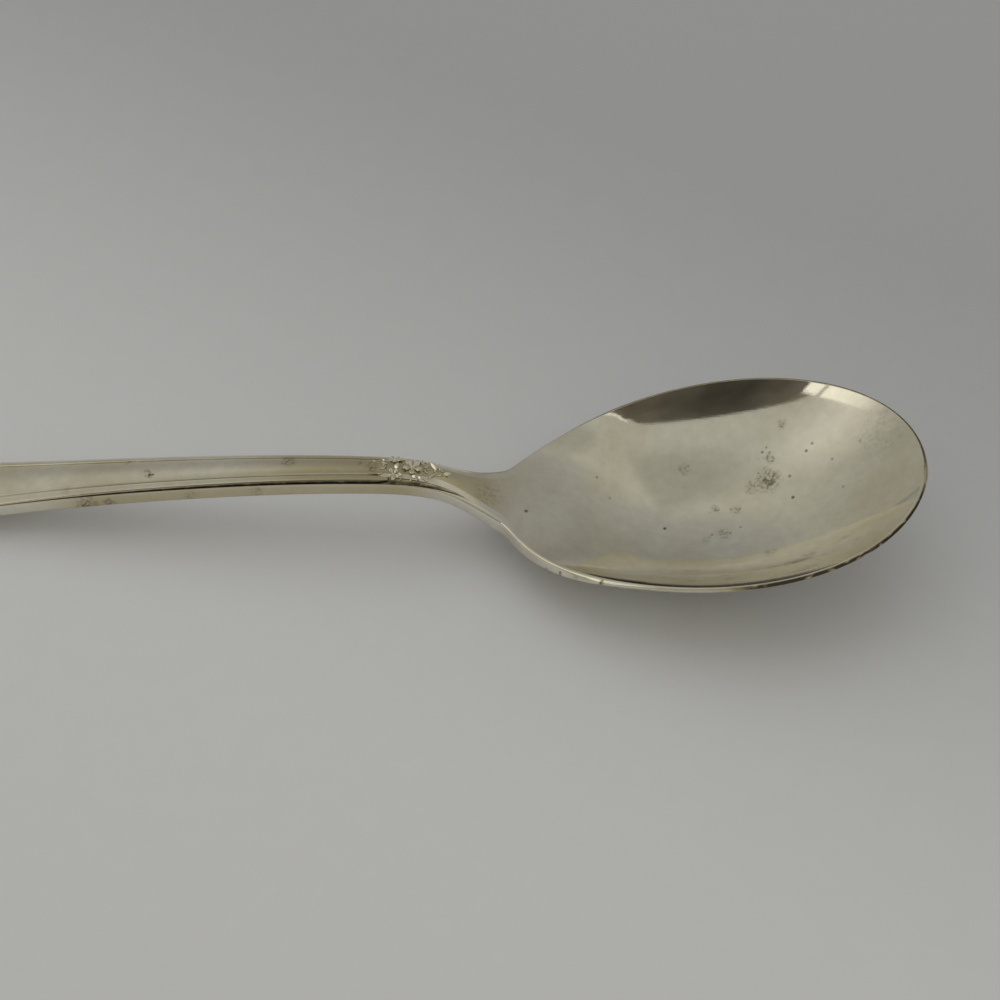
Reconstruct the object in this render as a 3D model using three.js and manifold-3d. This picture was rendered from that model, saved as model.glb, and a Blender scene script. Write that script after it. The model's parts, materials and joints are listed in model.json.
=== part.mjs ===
// A silver-plated sugar spoon in millimetres, +Z up, bowl towards +X.
// It rests on its bowl and on the end of its handle, and the origin is under the middle of its box.
// Stations are measured along the spoon from the shoulder, where the neck opens into the bowl.
import * as THREE from "three";
import { mergeVertices } from "three/addons/utils/BufferGeometryUtils.js";
import Module from "manifold-3d";

const { lerp, smoothstep } = THREE.MathUtils;
const wasm = await Module();
wasm.setup();

// Bowl
const bowlLength = 52.4; // shoulder to tip
const bowlWidth = 35.5; // inside the rim at the middle of the bowl
const bowlSwell = 0.125; // share by which the tip half is fuller than the neck half
const bowlDepth = 9.2; // rim to floor
const bowlFloorPower = 2.3; // 2 is a round floor, more is a flatter one with steeper walls
const bowlEntry = 22; // length over which the floor falls away from the neck
const bowlRise = 9.5; // how much higher the rim's tip is than its lowest point
const bowlWall = 1.2; // at the floor
const rimThickness = 0.8;
const rimDipStation = 2.6; // the lowest point of the rim
const rimBendStation = 10; // from here to the tip the rim is straight in side view
const rimBendRise = 1.15; // height of that point above the lowest
const wearFlat = 0.25; // metal worn off under the bowl and the handle where they rub on the table

// Neck and handle
const handleLength = 97.4; // shoulder to handle tip
const neckHeight = 10.05; // top edge of the neck at its highest, above the table
const neckCrestStation = -16.4;
const neckWidth = 4.8; // at its narrowest
const waistStation = -8.4;
const waistHeight = 9.45;
const shoulderFlare = 4.2; // how much wider the neck is at the shoulder
const shoulderEdge = 2; // height of the side wall at the shoulder
const shoulderRun = 15; // length over which the neck's thickness dies away in the bowl
const handleMiddleStation = -39.4;
const handleMiddleWidth = 6.1;
const handleMiddleHeight = 8.2;
const handleOuterStation = -66.4;
const handleOuterWidth = 8.5;
const handleOuterHeight = 4.2;
const handleEndWidth = 11.4;
const handleEndRound = 8; // length of the rounded handle end
const handleRestFromTip = 11; // where the handle end touches the table
const handleTipLift = 0.7; // how far the tip turns up from there
const handleEdge = 1.75; // height of the side wall
const neckEdge = 1.6; // the same at the neck
const handleCrown = 0.95; // how far the middle of the top stands above its edges
const handleBelly = 0.25; // how far the back swells
const neckBelly = 1.0; // the same at the neck
const neckJoint = -2.5; // station of the brazed joint of bowl and handle

// Thread border, a half-round wire in a channel along the handle's edge
const ledgeWidth = 0.12; // plain strip outside the channel
const threadInsetAtEnd = 0.36; // from the handle's edge to the thread
const threadInsetAtNeck = 0.6;
const threadWidthAtEnd = 0.98;
const threadWidthAtNeck = 0.52;
const threadProud = 0.16; // height above the handle's top
const threadStation = -15.6; // where it stops at the flower spray
const channelDepth = 0.4;
const channelDraft = 0.05; // slope of the channel's walls
const seatGap = 0.15; // clearance round the thread and under the spray

// Flower spray on the neck
const sprayBack = -15.2; // end towards the handle
const sprayFront = -7.4; // end towards the bowl
const sprayPlate = 0.45; // thickness of its backing
const sprayRecess = 0.5; // depth of its seat in the neck
const seatSlope = 1; // length of the seat's sloping ends
const sprayInset = 0.5; // from the backing to the neck's edge
const flowerRadius = 1.05; // petal centres from the flower's middle
const petalLength = 0.85;
const petalWidth = 0.6;
const petalHeight = 0.36;
const petalCount = 5;
const petalSink = 0.1; // depth of a petal's widest line below the backing's top
const budScale = 0.62;
const leafLength = 1.5;
const leafWidth = 0.42;
const leafSpread = 0.5; // angle between leaves, in radians

// Fineness of the surfaces
const bowlSteps = 34;
const bowlRows = 22;
const sideSteps = 34;
const endSteps = 9;
const threadArcSteps = 5;
const plateSteps = 8;
const bulbSides = 8;

const silver = new THREE.MeshStandardMaterial({ color: 0xbab6a6, metalness: 1, roughness: 0.3 });

// A smooth curve through [station, value] points, with both end slopes given.
function smoothLine(points, startSlope, endSlope) {
  const count = points.length;
  const gap = points.slice(1).map(([x], i) => x - points[i][0]);
  const rise = points.slice(1).map(([, y], i) => (y - points[i][1]) / gap[i]);
  const slope = new Array(count).fill(startSlope);
  slope[count - 1] = endSlope;
  const share = new Array(count).fill(0);
  for (let i = 1; i < count - 1; i++) {
    const weight = 2 * (gap[i - 1] + gap[i]) - gap[i] * share[i - 1];
    share[i] = gap[i - 1] / weight;
    const pull = 3 * (gap[i] * rise[i - 1] + gap[i - 1] * rise[i]);
    slope[i] = (pull - gap[i] * slope[i - 1]) / weight;
  }
  for (let i = count - 2; i > 0; i--) slope[i] -= share[i] * slope[i + 1];
  return (x) => {
    let i = 0;
    while (i < count - 2 && x > points[i + 1][0]) i++;
    const t = (x - points[i][0]) / gap[i];
    const bend = lerp(slope[i] - rise[i], rise[i] - slope[i + 1], t);
    return lerp(points[i][1], points[i + 1][1], t) + gap[i] * t * (1 - t) * bend;
  };
}

// Outline: half the width at a station
const handleTip = -handleLength;
const roundStation = handleTip + handleEndRound;
const taper = smoothLine(
  [
    [roundStation, handleEndWidth / 2],
    [handleOuterStation, handleOuterWidth / 2],
    [handleMiddleStation, handleMiddleWidth / 2],
    [waistStation, neckWidth / 2],
  ],
  0,
  (neckWidth - handleMiddleWidth) / 2 / (waistStation - handleMiddleStation),
);
const bowlShare = (x) => (2 * x) / bowlLength - 1;

function eggHalf(x) {
  const s = bowlShare(x);
  return Math.abs(s) >= 1 ? 0 : (bowlWidth / 2) * Math.sqrt(1 - s * s) * (1 + bowlSwell * s);
}

function halfWidth(x) {
  const flare = (shoulderFlare / 2) * THREE.MathUtils.clamp(1 - x / waistStation, 0, 1) ** 2;
  const neck = (taper(Math.min(x, waistStation)) + flare) * (1 - smoothstep(x, 0, 2 * shoulderRun));
  return Math.cbrt(neck ** 3 + eggHalf(x) ** 3);
}

// Side view: height of the top edge at a station, for a bowl rim raised by lift
const restStation = handleTip + handleRestFromTip;
const restHeight = handleEdge + handleBelly - wearFlat;
const rimSlope = (bowlRise - rimBendRise) / (bowlLength - rimBendStation);

function edgeLine(lift) {
  return smoothLine(
    [
      [handleTip, restHeight + handleTipLift],
      [restStation, restHeight],
      [handleOuterStation, handleOuterHeight],
      [handleMiddleStation, handleMiddleHeight],
      [neckCrestStation, neckHeight],
      [waistStation, waistHeight],
      [rimDipStation, lift],
      [rimBendStation, lift + rimBendRise],
      [bowlLength, lift + bowlRise],
    ],
    -0.1,
    rimSlope,
  );
}

// The hollow of the bowl below its rim, for v from 0 on the middle line to 1 at the rim
function hollow(x, v) {
  if (x <= 0) return 0;
  const s = Math.min(bowlShare(x), 1);
  const rim = s * s + (1 - s * s) * v * v;
  return bowlDepth * (1 - rim ** (bowlFloorPower / 2)) * smoothstep(x, 0, bowlEntry);
}

function crown(x) {
  const atEnd = Math.min(1, halfWidth(x) / (neckWidth / 2));
  const seatBack = smoothstep(x, sprayBack - seatSlope, sprayBack);
  const seatFront = 1 - smoothstep(x, sprayFront, sprayFront + seatSlope);
  return handleCrown * atEnd * (1 - smoothstep(x, waistStation, 0)) - sprayRecess * seatBack * seatFront;
}

function thickness(x, v) {
  const neckShare = smoothstep(x, handleMiddleStation, waistStation);
  const wall = lerp(lerp(handleEdge, neckEdge, neckShare), shoulderEdge, smoothstep(x, waistStation, 0));
  const edge = lerp(wall, rimThickness, smoothstep(x, neckJoint, shoulderRun));
  const belly = lerp(handleBelly, neckBelly, neckShare);
  const middle = lerp(belly, bowlWall - rimThickness, smoothstep(x, neckJoint, shoulderRun));
  return edge + middle * (1 - v * v);
}

// A point on the top, and the point under it on the back, kept on or above the table
const slopeStep = 0.05;

function topHeight(edge, x, y) {
  const half = halfWidth(x);
  const v = half > 0 ? Math.min(1, Math.abs(y) / half) : 1;
  return edge(x) + crown(x) * (1 - v * v) - hollow(x, v);
}

function backPoint(edge, x, y) {
  const half = halfWidth(x);
  const v = half > 0 ? Math.min(1, Math.abs(y) / half) : 1;
  const tilt = smoothstep(x, neckJoint, shoulderRun);
  const inX = Math.min(x, bowlLength - slopeStep);
  const inY = y - Math.sign(y) * slopeStep;
  const along = topHeight(edge, inX, inY) - topHeight(edge, inX - slopeStep, inY);
  const across = topHeight(edge, inX, inY + slopeStep / 2) - topHeight(edge, inX, inY - slopeStep / 2);
  const down = new THREE.Vector3(along * tilt, across * tilt, -slopeStep).normalize();
  const top = new THREE.Vector3(x, y, topHeight(edge, x, y));
  return top.addScaledVector(down, thickness(x, v));
}

// Stations of the bowl, closer together towards its tip
const bowlStations = Array.from({ length: bowlSteps + 1 }, (_, i) => {
  const turn = (Math.PI * (bowlSteps - i)) / bowlSteps;
  return lerp(neckJoint, bowlLength, (1 + Math.cos(turn)) / 2);
});

// The rim's lift that sets the worn bowl on the table
function seatBowl() {
  let lift = 0;
  for (let pass = 0; pass < 6; pass++) {
    const edge = edgeLine(lift);
    lift -= wearFlat + Math.min(...bowlStations.map((x) => backPoint(edge, x, 0).z));
  }
  return lift;
}

const edge = edgeLine(seatBowl());
const onTable = (point) => point.setZ(Math.max(0, point.z));

// A closed surface gathered from quads and triangles, with shared vertices merged
function surface() {
  const positions = [];
  const triangle = (a, b, c) => {
    const area = new THREE.Triangle(a, b, c).getArea();
    if (area > 1e-9) positions.push(...a, ...b, ...c);
  };
  const quad = (a, b, c, d) => {
    triangle(a, b, c);
    triangle(a, c, d);
  };
  const close = () => {
    const geometry = new THREE.BufferGeometry();
    geometry.setAttribute("position", new THREE.Float32BufferAttribute(positions, 3));
    const merged = mergeVertices(geometry, 1e-4);
    merged.computeVertexNormals();
    return merged;
  };
  return { triangle, quad, close };
}

// Rings of points along a path, skinned and closed at both ends; a ring of one repeated point closes itself
function loft(rings) {
  const skin = surface();
  const count = rings[0].length;
  for (let i = 0; i + 1 < rings.length; i++)
    for (let j = 0; j < count; j++) {
      const next = (j + 1) % count;
      skin.quad(rings[i][j], rings[i][next], rings[i + 1][next], rings[i + 1][j]);
    }
  const last = rings[rings.length - 1];
  for (let j = 0; 2 * (j + 1) <= count - 1; j++) {
    const far = count - 1 - j;
    skin.quad(rings[0][j], rings[0][far], rings[0][far - 1], rings[0][j + 1]);
    skin.quad(last[j + 1], last[far - 1], last[far], last[j]);
  }
  return skin.close();
}

// The bowl: top from left to right and back from right to left at each station
function bowlGeometry() {
  const shares = Array.from({ length: bowlRows + 1 }, (_, j) => Math.cos((Math.PI * j) / bowlRows));
  const rings = bowlStations.map((x) => {
    const half = halfWidth(x);
    const top = shares.map((v) => new THREE.Vector3(x, v * half, topHeight(edge, x, v * half)));
    const back = shares.map((v) => onTable(backPoint(edge, x, v * half)));
    return [...top, ...back.reverse()];
  });
  return loft(rings);
}

// Stops along the handle's edge: down the right side, round the end and back up the left side.
// Each has the edge point, the middle point that it faces, and the station that sets its section.
function edgeStops(fromStation) {
  const side = Array.from({ length: sideSteps + 1 }, (_, i) => {
    const x = lerp(fromStation, roundStation, i / sideSteps);
    return { x, edgeX: x, edgeY: -halfWidth(x), middleX: x };
  });
  const end = Array.from({ length: 2 * endSteps - 1 }, (_, i) => {
    const turn = (Math.PI * (i + 1)) / (2 * endSteps);
    const edgeX = roundStation - handleEndRound * Math.sin(turn);
    const edgeY = (-handleEndWidth / 2) * Math.cos(turn);
    return { x: roundStation, edgeX, edgeY, middleX: roundStation };
  });
  const left = side.map((stop) => ({ ...stop, edgeY: -stop.edgeY })).reverse();
  return [...side, ...end, ...left];
}

const alongHandle = (x) => smoothstep(x, roundStation, threadStation);
const threadWidth = (x) => lerp(threadWidthAtEnd, threadWidthAtNeck, alongHandle(x));
const threadInset = (x) => lerp(threadInsetAtEnd, threadInsetAtNeck, alongHandle(x));
const channelInset = (x) => threadInset(x) + threadWidth(x) + seatGap + channelDraft;
const channelShare = (x) => 1 - smoothstep(x, threadStation, threadStation + 2 * seatGap + channelDepth);

// A point in a stop's section, inset from the edge and lowered below the crowned top
function sectionPoint(stop, inset, lower) {
  const run = Math.hypot(stop.edgeX - stop.middleX, stop.edgeY);
  const share = 1 - inset / run;
  const x = lerp(stop.middleX, stop.edgeX, share);
  const y = stop.edgeY * share;
  const z = edge(x) + crown(stop.x) * (1 - share * share) - lower;
  return new THREE.Vector3(x, y, z);
}

function backSectionPoint(stop, share) {
  const x = lerp(stop.middleX, stop.edgeX, share);
  const z = edge(x) - thickness(stop.x, share);
  return onTable(new THREE.Vector3(x, stop.edgeY * share, z));
}

// Half a section of the handle, from the middle of its top over the edge to the middle of its back
function handleSection(stop) {
  const run = Math.hypot(stop.edgeX - stop.middleX, stop.edgeY);
  const depth = channelDepth * channelShare(stop.x);
  const border = channelInset(stop.x);
  const panel = [0, 0.35, 0.7, 1].map((share) => sectionPoint(stop, lerp(run, border, share), 0));
  const floor = [border - channelDraft, ledgeWidth + channelDraft].map((w) => sectionPoint(stop, w, depth));
  const ledge = [ledgeWidth, 0].map((w) => sectionPoint(stop, w, 0));
  const back = [1, 0.6, 0.3, 0].map((share) => backSectionPoint(stop, share));
  return [...panel, ...floor, ...ledge, ...back];
}

function handleGeometry() {
  const sections = edgeStops(neckJoint).map(handleSection);
  const skin = surface();
  for (let p = 0; p + 1 < sections.length; p++)
    for (let r = 0; r + 1 < sections[p].length; r++)
      skin.quad(sections[p][r], sections[p + 1][r], sections[p + 1][r + 1], sections[p][r + 1]);
  const right = sections[0];
  const left = sections[sections.length - 1];
  const outline = (points) => points.map((point) => new THREE.Vector2(point.y, point.z));
  for (const half of [right, left])
    for (const [a, b, c] of THREE.ShapeUtils.triangulateShape(outline(half), [])) {
      const turn = THREE.ShapeUtils.area(outline([half[a], half[b], half[c]]));
      if (turn > 0) skin.triangle(half[a], half[b], half[c]);
      else skin.triangle(half[a], half[c], half[b]);
    }
  return skin.close();
}

// The thread: a half-round wire that lies in the channel and goes round the handle's end
function threadRing(stop) {
  const outer = threadInset(stop.x);
  const inner = outer + threadWidth(stop.x);
  const arc = Array.from({ length: threadArcSteps + 1 }, (_, i) => {
    const turn = (Math.PI * i) / threadArcSteps;
    const inset = lerp(outer, inner, (1 - Math.cos(turn)) / 2);
    return sectionPoint(stop, inset, -threadProud * Math.sin(turn));
  });
  const foot = [inner, outer].map((inset) => sectionPoint(stop, inset, channelDepth - seatGap));
  return [...arc, ...foot];
}

function threadGeometry() {
  return loft(edgeStops(threadStation).map(threadRing));
}

// A solid for joining, from a closed geometry
function solidOf(geometry) {
  const bare = geometry.clone().deleteAttribute("normal").deleteAttribute("uv");
  const merged = mergeVertices(bare, 1e-4);
  const vertProperties = merged.getAttribute("position").array;
  const triVerts = new Uint32Array(merged.index.array);
  return new wasm.Manifold(new wasm.Mesh({ numProp: 3, vertProperties, triVerts }));
}

function geometryOf(solid) {
  const { vertProperties, triVerts } = solid.getMesh();
  const geometry = new THREE.BufferGeometry();
  geometry.setAttribute("position", new THREE.BufferAttribute(vertProperties, 3));
  geometry.setIndex(new THREE.BufferAttribute(triVerts, 1));
  geometry.computeVertexNormals();
  return geometry;
}

// The spray's backing, a thin plate that follows the neck
const plateTop = seatGap + sprayPlate;

function plateGeometry() {
  const shares = Array.from({ length: plateSteps + 1 }, (_, j) => 1 - (2 * j) / plateSteps);
  const rings = Array.from({ length: plateSteps + 1 }, (_, i) => {
    const x = lerp(sprayBack, sprayFront, i / plateSteps);
    const half = halfWidth(x) - sprayInset;
    const neckTop = shares.map((v) => new THREE.Vector3(x, v * half, topHeight(edge, x, v * half)));
    const raised = (lift) => neckTop.map((point) => point.clone().setZ(point.z + lift));
    return [...raised(plateTop), ...raised(seatGap).reverse()];
  });
  return loft(rings);
}

// A petal, leaf or seed: a flattened bulb lying on the plate, turned about the neck's normal
function bulb(x, y, turn, length, width, height) {
  const ahead = topHeight(edge, x + slopeStep, y) - topHeight(edge, x - slopeStep, y);
  const aside = topHeight(edge, x, y + slopeStep) - topHeight(edge, x, y - slopeStep);
  const normal = new THREE.Vector3(-ahead, -aside, 2 * slopeStep).normalize();
  const lie = new THREE.Quaternion().setFromUnitVectors(new THREE.Vector3(0, 0, 1), normal);
  const spin = new THREE.Quaternion().setFromAxisAngle(new THREE.Vector3(0, 0, 1), turn);
  const place = new THREE.Vector3(x, y, topHeight(edge, x, y) + plateTop - petalSink);
  const size = new THREE.Vector3(length, width, height);
  const matrix = new THREE.Matrix4().compose(place, lie.multiply(spin), size);
  const ball = new THREE.SphereGeometry(1, bulbSides, bulbSides / 2).rotateX(Math.PI / 2);
  return solidOf(ball.applyMatrix4(matrix));
}

function flower(x, y, scale) {
  const petals = Array.from({ length: petalCount }, (_, i) => {
    const turn = (2 * Math.PI * i) / petalCount;
    const reach = flowerRadius * scale;
    const [px, py] = [x + reach * Math.cos(turn), y + reach * Math.sin(turn)];
    return bulb(px, py, turn, petalLength * scale, petalWidth * scale, petalHeight);
  });
  const seed = bulb(x, y, 0, petalWidth * scale, petalWidth * scale, petalHeight * 1.3);
  return [...petals, seed];
}

function sprayGeometry() {
  const middle = lerp(sprayBack, sprayFront, 0.4);
  const budX = sprayBack + flowerRadius * budScale;
  const leaves = [-leafSpread, 0, leafSpread].map((turn) => {
    const [ahead, aside] = [leafLength * Math.cos(turn), leafLength * Math.sin(turn)];
    return bulb(sprayFront - 2 * leafLength + ahead, aside, turn, leafLength, leafWidth, petalHeight);
  });
  const buds = [flowerRadius, -flowerRadius].flatMap((y) => flower(budX, y, budScale));
  const relief = [...flower(middle, 0, 1), ...buds, ...leaves];
  return geometryOf(relief.reduce((whole, piece) => whole.add(piece), solidOf(plateGeometry())));
}

// Assembly
const spoon = new THREE.Group();
const pieces = {
  bowl: bowlGeometry(),
  handle: handleGeometry(),
  thread_border: threadGeometry(),
  flower_spray: sprayGeometry(),
};
for (const [name, geometry] of Object.entries(pieces)) {
  const mesh = new THREE.Mesh(geometry, silver.clone());
  mesh.name = name;
  spoon.add(mesh);
}
const middle = new THREE.Box3().setFromObject(spoon).getCenter(new THREE.Vector3());
spoon.position.x = -middle.x;

const part = new THREE.Group();
part.add(spoon);
export default part;
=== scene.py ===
import json
import math
import bpy
from mathutils import Matrix, Quaternion, Vector, noise

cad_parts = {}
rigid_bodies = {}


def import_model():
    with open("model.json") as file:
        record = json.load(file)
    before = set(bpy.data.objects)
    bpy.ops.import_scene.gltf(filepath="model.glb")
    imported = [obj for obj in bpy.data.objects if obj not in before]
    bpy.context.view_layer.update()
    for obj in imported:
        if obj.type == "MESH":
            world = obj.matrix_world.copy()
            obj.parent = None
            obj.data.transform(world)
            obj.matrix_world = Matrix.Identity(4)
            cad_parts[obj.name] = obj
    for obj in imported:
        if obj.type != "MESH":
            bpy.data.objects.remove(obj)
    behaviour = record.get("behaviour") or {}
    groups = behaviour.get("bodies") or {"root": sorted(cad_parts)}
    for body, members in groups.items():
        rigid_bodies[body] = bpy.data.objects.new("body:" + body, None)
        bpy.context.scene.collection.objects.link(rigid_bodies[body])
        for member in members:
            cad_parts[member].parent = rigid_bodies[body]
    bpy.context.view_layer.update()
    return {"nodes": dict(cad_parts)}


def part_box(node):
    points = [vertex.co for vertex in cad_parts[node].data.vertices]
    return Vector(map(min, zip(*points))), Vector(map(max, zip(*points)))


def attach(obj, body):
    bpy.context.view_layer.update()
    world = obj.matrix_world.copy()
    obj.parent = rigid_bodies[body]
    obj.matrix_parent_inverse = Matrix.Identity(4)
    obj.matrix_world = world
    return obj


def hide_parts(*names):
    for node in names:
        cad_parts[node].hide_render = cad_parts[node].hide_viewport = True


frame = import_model()
scene = bpy.context.scene
scene.view_settings.view_transform = "Standard"
mm = 0.001
print("frame loaded:", sorted(frame["nodes"]))


def toLinear(hexColour):  # sRGB hex to linear, as Blender's sockets want it
    parts = [int(hexColour[i:i + 2], 16) / 255 for i in (1, 3, 5)]
    return [p / 12.92 if p <= 0.04045 else ((p + 0.055) / 1.055) ** 2.4 for p in parts] + [1.0]


def addNode(tree, kind, settings, links=None):  # one node, its values and what feeds it
    node = tree.nodes.new(kind)
    for name, value in settings.items():
        if isinstance(name, int) or name in node.inputs:
            node.inputs[name].default_value = value
        else:
            setattr(node, name, value)
    for name, source in (links or {}).items():
        tree.links.new(source, node.inputs[name])
    return node


def startTree(owner, coordinates):  # the owner's node tree, emptied, and its texture coordinates
    owner.use_nodes = True
    tree = owner.node_tree
    tree.nodes.clear()
    return tree, addNode(tree, "ShaderNodeTexCoord", {}).outputs[coordinates]


def calc(tree, operation, *values, kind="Math", output=0):  # a sum on numbers, vectors or sockets
    settings, links = {"operation": operation}, {}
    for i, value in enumerate(values):
        (links if isinstance(value, bpy.types.NodeSocket) else settings)[i] = value
    return addNode(tree, "ShaderNode" + kind, settings, links).outputs[output]


def alongWay(tree, coords, way):  # how far along a way the coordinates lie
    return calc(tree, "DOT_PRODUCT", coords, way, kind="VectorMath", output="Value")


def remap(tree, source, span, to=(0, 1), soft=False):  # one span of values onto another, held at the ends
    settings = {"From Min": span[0], "From Max": span[1], "To Min": to[0], "To Max": to[1]}
    settings["interpolation_type"] = "SMOOTHSTEP" if soft else "LINEAR"
    return addNode(tree, "ShaderNodeMapRange", settings, {"Value": source}).outputs[0]


def mixTint(tree, share, first, second, blend="MIX"):  # from a hex colour or a socket to a hex colour
    settings, links = {"data_type": "RGBA", "blend_type": blend, 7: toLinear(second)}, {0: share}
    if isinstance(first, str):
        settings[6] = toLinear(first)
    else:
        links[6] = first
    return addNode(tree, "ShaderNodeMix", settings, links).outputs[2]


def clouds(tree, place, scale, detail, roughness=0.5):
    settings = {"Scale": scale, "Detail": detail, "Roughness": roughness}
    return addNode(tree, "ShaderNodeTexNoise", settings, {"Vector": place})


def setSurface(tree, shader):
    addNode(tree, "ShaderNodeOutputMaterial", {}, {"Surface": shader.outputs[0]})


def lerp(a, b, t):
    return a + (b - a) * t


def ease(x, a, b):  # 0 before a, 1 after b, soft at both ends
    t = min(1, max(0, (x - a) / (b - a)))
    return t * t * (3 - 2 * t)


def between(x, start, end):  # rises over the start pair, falls over the end pair
    return ease(x, *start) * (1 - ease(x, *end))


def smoothLine(points, startSlope, endSlope):  # a curve with no kinks through (station, value) points
    gap = [b[0] - a[0] for a, b in zip(points, points[1:])]
    rise = [(b[1] - a[1]) / (b[0] - a[0]) for a, b in zip(points, points[1:])]
    slope = [startSlope] * (len(points) - 1) + [endSlope]
    share = [0.0] * len(points)
    for i in range(1, len(points) - 1):
        weight = 2 * (gap[i - 1] + gap[i]) - gap[i] * share[i - 1]
        share[i] = gap[i - 1] / weight
        slope[i] = (3 * (gap[i] * rise[i - 1] + gap[i - 1] * rise[i]) - gap[i] * slope[i - 1]) / weight
    for i in range(len(points) - 2, 0, -1):
        slope[i] -= share[i] * slope[i + 1]

    def line(x):
        i = 0
        while i < len(points) - 2 and x > points[i + 1][0]:
            i += 1
        t = (x - points[i][0]) / gap[i]
        bend = lerp(slope[i] - rise[i], rise[i] - slope[i + 1], t)
        return lerp(points[i][1], points[i + 1][1], t) + gap[i] * t * (1 - t) * bend

    return line


# Camera, at the photograph's height and turn
cameraView = {"lens": 94.5, "place": (36.2, -231.3, 245.7), "looksAt": (22.345, -4.37, 10.3)}  # mm
bpy.ops.object.camera_add()
camera = bpy.context.object
camera.name = "photoCamera"
camera.data.lens = cameraView["lens"]
camera.data.sensor_width = 36
camera.data.clip_start = 0.01
camera.location = Vector(cameraView["place"]) * mm
sight = (Vector(cameraView["looksAt"]) - Vector(cameraView["place"])).normalized()
camera.rotation_mode = "QUATERNION"
camera.rotation_quaternion = sight.to_track_quat("-Z", "Y")
scene.camera = camera
print("camera placed")

# The spoon's shape: stations in mm along it from the shoulder, + towards the tip of the bowl
shape = {
    "bowlLength": 52.55, "bowlWidth": 35.98, "bowlSwell": 0.125, "bowlDepth": 9.2, "floorPower": 2.3,
    "bowlEntry": (22, 15.5), "bowlRise": 9.5, "bowlWall": 1.2, "rimThickness": 0.6, "rimRun": 20,
    "rimDipStation": 2.6, "rimBendStation": 10, "rimBendRise": 1.15, "outlinePower": 4,
    "shoulderFlare": 4.2, "shoulderEdge": 2, "shoulderRun": 15,
    "shoulderSoft": 0.8, "softFrom": (-6, -0.5), "softTo": (1, 8),
    "neckJoint": -2.5, "waistStation": -8.4, "waistHeight": 9.45, "neckWidth": 4.8, "neckEdge": 1.6,
    "neckBelly": 1.0, "crestStation": -16.4, "crestHeight": 10.05, "middleStation": -39.4,
    "middleWidth": 6.1, "middleHeight": 8.2, "outerStation": -66.4, "outerWidth": 8.5, "outerHeight": 4.2,
    "handleLength": 97.4, "endWidth": 11.4, "endRound": 8, "restFromTip": 11, "restHeight": 1.75,
    "tipLift": 0.7, "tipSlope": -0.1, "handleEdge": 1.75, "handleBelly": 0.25, "crown": 0.95,
    "threadStation": -13.9, "threadInset": (0.2, 0.36), "threadWidth": (1.14, 0.76),
    "channelDepth": 0.4, "channelGap": 0.2, "channelEnd": (0.3, 1), "innerLineEnd": (-3, -0.4),
    "ledge": 0.12, "ledgeSlope": 0.1, "borderSlope": 0.08,
    "edgeGrooveWidth": (0.86, 0.42), "edgeGrooveDepth": 0.36,
    "edgeGrooveEnd": (-6, -3), "edgeGrooveSlope": (-0.3, 0.06),
    "rimRound": (0.12, 0.22), "farRoundRun": (-4, 4), "nearRoundRun": (4, 18),
    "shoulderRound": 0.6, "shoulderRoundRun": (-9, -2), "ledgeRound": 0.07, "backRound": 0.3, "roundLimit": 0.45,
    "bowlColumns": 150, "sideColumns": 150, "endColumns": 26, "tipFan": 0.54, "panelRows": 26, "backRows": 14,
    "grooveRows": (0.76, 0.62, 0.48, 0.36, 0.22, 0.13), "roundSteps": 4, "slopeStep": 0.05, "mergeGap": 0.002,
}
bowlLow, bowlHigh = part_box("bowl")
stationShift = bowlLow.x / mm - shape["neckJoint"]  # from stations to the frame's X
rimLift = bowlHigh.z / mm - shape["bowlRise"]
roundStation = shape["endRound"] - shape["handleLength"]
taper = smoothLine(
    [(roundStation, shape["endWidth"] / 2), (shape["outerStation"], shape["outerWidth"] / 2),
     (shape["middleStation"], shape["middleWidth"] / 2), (shape["waistStation"], shape["neckWidth"] / 2)],
    0, (shape["neckWidth"] - shape["middleWidth"]) / 2 / (shape["waistStation"] - shape["middleStation"]))
edgeHeight = smoothLine(
    [(-shape["handleLength"], shape["restHeight"] + shape["tipLift"]),
     (shape["restFromTip"] - shape["handleLength"], shape["restHeight"]),
     (shape["outerStation"], shape["outerHeight"]), (shape["middleStation"], shape["middleHeight"]),
     (shape["crestStation"], shape["crestHeight"]), (shape["waistStation"], shape["waistHeight"]),
     (shape["rimDipStation"], rimLift), (shape["rimBendStation"], rimLift + shape["rimBendRise"]),
     (shape["bowlLength"], rimLift + shape["bowlRise"])],
    shape["tipSlope"], (shape["bowlRise"] - shape["rimBendRise"]) / (shape["bowlLength"] - shape["rimBendStation"]))


def plainHalfWidth(x):  # half the width of the neck run into the egg-shaped bowl
    s = 2 * x / shape["bowlLength"] - 1
    egg = 0 if abs(s) >= 1 else shape["bowlWidth"] / 2 * math.sqrt(1 - s * s) * (1 + shape["bowlSwell"] * s)
    flare = shape["shoulderFlare"] / 2 * min(1, max(0, 1 - x / shape["waistStation"])) ** 2
    neck = (taper(min(x, shape["waistStation"])) + flare) * (1 - ease(x, 0, 2 * shape["shoulderRun"]))
    return (neck ** shape["outlinePower"] + egg ** shape["outlinePower"]) ** (1 / shape["outlinePower"])


def halfWidth(x):  # half the spoon's width at a station, the shoulder's corner filled to a soft curve
    reach = shape["shoulderSoft"] * between(x, shape["softFrom"], shape["softTo"])
    if reach < 0.01:
        return plainHalfWidth(x)
    return sum((4 - abs(k)) * plainHalfWidth(x + reach * k / 3) for k in range(-3, 4)) / 16


def crownHeight(x):  # rise of the panel's middle over its edges
    rise = shape["crown"] * min(1, halfWidth(x) / (shape["neckWidth"] / 2))
    return rise * (1 - ease(x, shape["waistStation"], 0))


def acrossShare(x, y):  # 0 on the middle line, 1 at the edge
    half = halfWidth(x)
    return min(1, abs(y) / half) if half > 1e-6 else 1


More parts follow.
